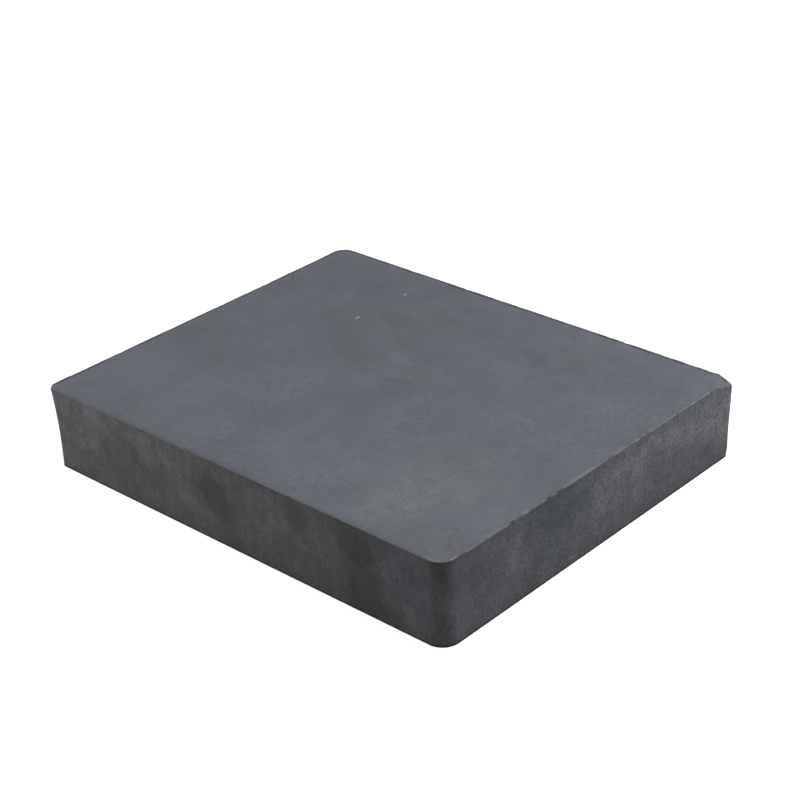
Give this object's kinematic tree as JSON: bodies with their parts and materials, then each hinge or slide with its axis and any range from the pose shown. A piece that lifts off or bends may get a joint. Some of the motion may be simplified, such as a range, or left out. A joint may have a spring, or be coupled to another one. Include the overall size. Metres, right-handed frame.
{
  "type": "block magnet",
  "caption": "Flat rectangular hard ferrite magnet block with rounded upright corners, two ground pole faces and rough as-sintered sides.",
  "frame": {"origin": "centre of the bottom pole face, on the surface that the block rests on", "axes": "+X along the length, +Y along the width, +Z through the thickness from the bottom pole face to the top one"},
  "size_m": [0.15, 0.123, 0.025],
  "materials": {
    "ferrite": "matte"
  },
  "bodies": {
    "root": {"ferrite_block": "ferrite"}
  },
  "joints": []
}
